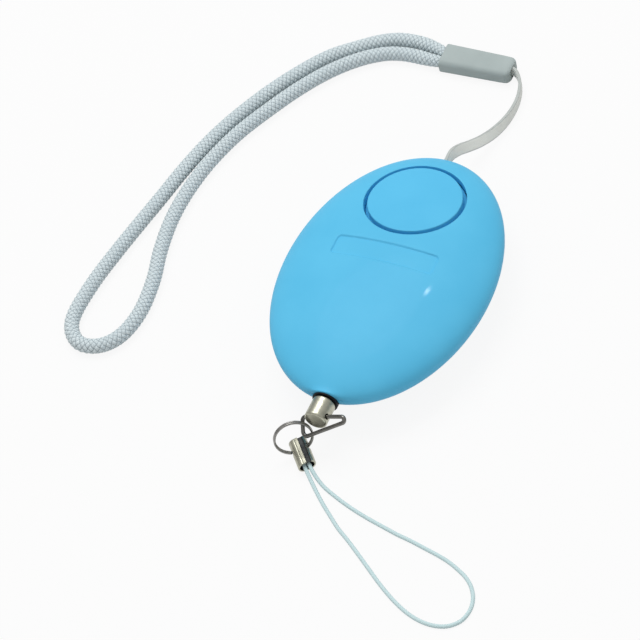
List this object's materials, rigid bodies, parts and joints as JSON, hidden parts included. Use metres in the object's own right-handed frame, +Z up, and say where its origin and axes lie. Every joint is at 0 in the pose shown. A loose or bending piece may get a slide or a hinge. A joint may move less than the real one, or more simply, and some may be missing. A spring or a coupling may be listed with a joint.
{
  "type": "personal safety alarm",
  "caption": "Oval blue pocket alarm with a flush press button, a nickel pull pin linked by a split ring to a thin cord loop, and a braided wrist strap.",
  "frame": {"origin": "middle of the flat rest face on the back of the case, where the case lies on a table", "axes": "+Z up through the front dome, +Y along the case to the button and strap end, -Y to the pull pin, +X to the right seen from the front"},
  "size_m": [0.1042, 0.1361, 0.016],
  "materials": {
    "blue_shell": "satin moulded plastic",
    "blue_button": "satin moulded plastic",
    "nickel": "bright nickel",
    "cell_steel": "bright steel",
    "brass": "plain brass",
    "black_plastic": "satin black",
    "pale_plastic": "satin",
    "board": "solder mask",
    "coil": "ferrite",
    "ceramic": "silvered ceramic",
    "lead": "insulated wire",
    "thin_cord": "thin braided cord",
    "ribbon": "woven tape",
    "sleeve": "satin plastic",
    "braid": "braided cord"
  },
  "bodies": {
    "case": {"front_cover": "blue_shell", "back_cover": "blue_shell", "case_screws": "nickel", "circuit_board": "board", "switch_housing": "black_plastic", "battery_tray": "black_plastic", "button_cells": "cell_steel", "lower_contacts": "nickel", "upper_contacts": "nickel", "boost_coil": "coil", "driver_chip": "black_plastic", "sounder_disc": "brass", "sounder_ceramic": "ceramic", "sounder_leads": "lead", "pin_socket": "black_plastic", "socket_leaves": "brass", "strap_ribbon": "ribbon", "strap_sleeve": "sleeve", "strap_cord": "braid"},
    "button": {"alarm_button": "blue_button"},
    "plunger": {"switch_plunger": "pale_plastic"},
    "pin": {"pull_pin": "nickel"},
    "link": {"wire_link": "nickel"},
    "ring": {"split_ring": "nickel"},
    "cord": {"cord_end": "nickel", "phone_cord": "thin_cord"}
  },
  "joints": [
    {"name": "button_press", "type": "slide", "parent": "case", "child": "button", "axis": [0, 0, -1], "range_m": [0, 0.0006], "stiffness_N_per_m": 2500},
    {"name": "plunger_press", "type": "slide", "parent": "case", "child": "plunger", "axis": [0, 0, -1], "range_m": [0, 0.0006]},
    {"name": "pin_pull", "type": "slide", "parent": "case", "child": "pin", "axis": [0, -1, 0], "range_m": [0, 0.013]},
    {"name": "link_swing", "type": "hinge", "parent": "pin", "child": "link", "pos_m": [0, -0.03485, 0.0083], "axis": [0.9397, 0, 0.342], "range_deg": [-60, 10]},
    {"name": "ring_swing", "type": "hinge", "parent": "link", "child": "ring", "pos_m": [-0.00129, -0.03639, 0.00619], "axis": [0.898, -0.4225, -0.1227], "range_deg": [-2, 28]},
    {"name": "cord_end_swing", "type": "hinge", "parent": "ring", "child": "cord", "pos_m": [-0.00301, -0.03872, 0.00169], "axis": [0.768, 0.607, 0.2041], "range_deg": [-60, 40]}
  ],
  "couplings": [
    {"joint": "plunger_press", "follows": "button_press", "ratio": 1}
  ]
}
